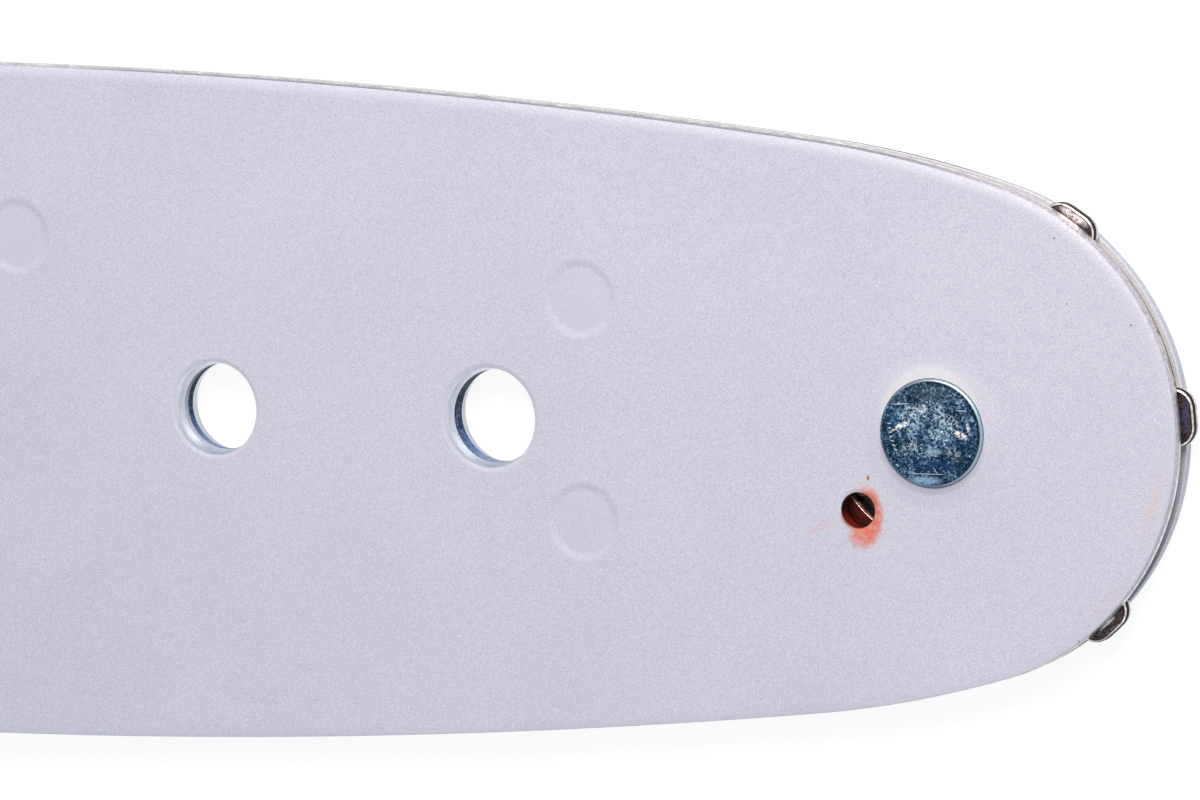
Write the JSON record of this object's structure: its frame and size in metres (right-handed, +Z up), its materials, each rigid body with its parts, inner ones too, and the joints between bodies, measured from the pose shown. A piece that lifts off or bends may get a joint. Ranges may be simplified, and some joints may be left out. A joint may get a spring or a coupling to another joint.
{
  "type": "chainsaw guide bar",
  "caption": "Laminated chainsaw guide bar: painted steel side plates on a core that leaves the chain groove, with a toothed roller-bearing sprocket in the nose and a stud slot in the tail.",
  "frame": {"origin": "middle of the bar's length and width, on the surface that it lies on", "axes": "+X along the bar towards the sprocket nose, +Z up through the thickness, +Y across the bar"},
  "size_m": [0.4006, 0.046, 0.0039],
  "materials": {
    "painted_plate": "pale lavender-grey powder coat, fine speckle, satin",
    "core_steel": "dark blue-grey rolled steel",
    "sprocket_steel": "dark hardened steel with an oil film",
    "bearing_steel": "ground bearing steel under grease",
    "rivet_steel": "peened blue-grey zinc-plated steel"
  },
  "bodies": {
    "bar": {"outer_side_plate": "painted_plate", "core_plate": "core_steel", "inner_side_plate": "painted_plate", "bearing_inner_race": "bearing_steel", "nose_rivet": "rivet_steel"},
    "sprocket": {"nose_sprocket": "sprocket_steel"},
    "roller_ring": {"bearing_roller_01": "bearing_steel", "bearing_roller_02": "bearing_steel", "bearing_roller_03": "bearing_steel", "bearing_roller_04": "bearing_steel", "bearing_roller_05": "bearing_steel", "bearing_roller_06": "bearing_steel", "bearing_roller_07": "bearing_steel", "bearing_roller_08": "bearing_steel", "bearing_roller_09": "bearing_steel", "bearing_roller_10": "bearing_steel", "bearing_roller_11": "bearing_steel", "bearing_roller_12": "bearing_steel", "bearing_roller_13": "bearing_steel", "bearing_roller_14": "bearing_steel"}
  },
  "joints": [
    {"name": "sprocket_spin", "type": "hinge", "parent": "bar", "child": "sprocket", "pos_m": [0.18372, 0, 0.00195], "axis": [0, 0, 1], "continuous": true},
    {"name": "roller_orbit", "type": "hinge", "parent": "bar", "child": "roller_ring", "pos_m": [0.18372, 0, 0.00195], "axis": [0, 0, 1], "continuous": true}
  ],
  "couplings": [
    {"joint": "roller_orbit", "follows": "sprocket_spin", "ratio": 0.60477}
  ]
}
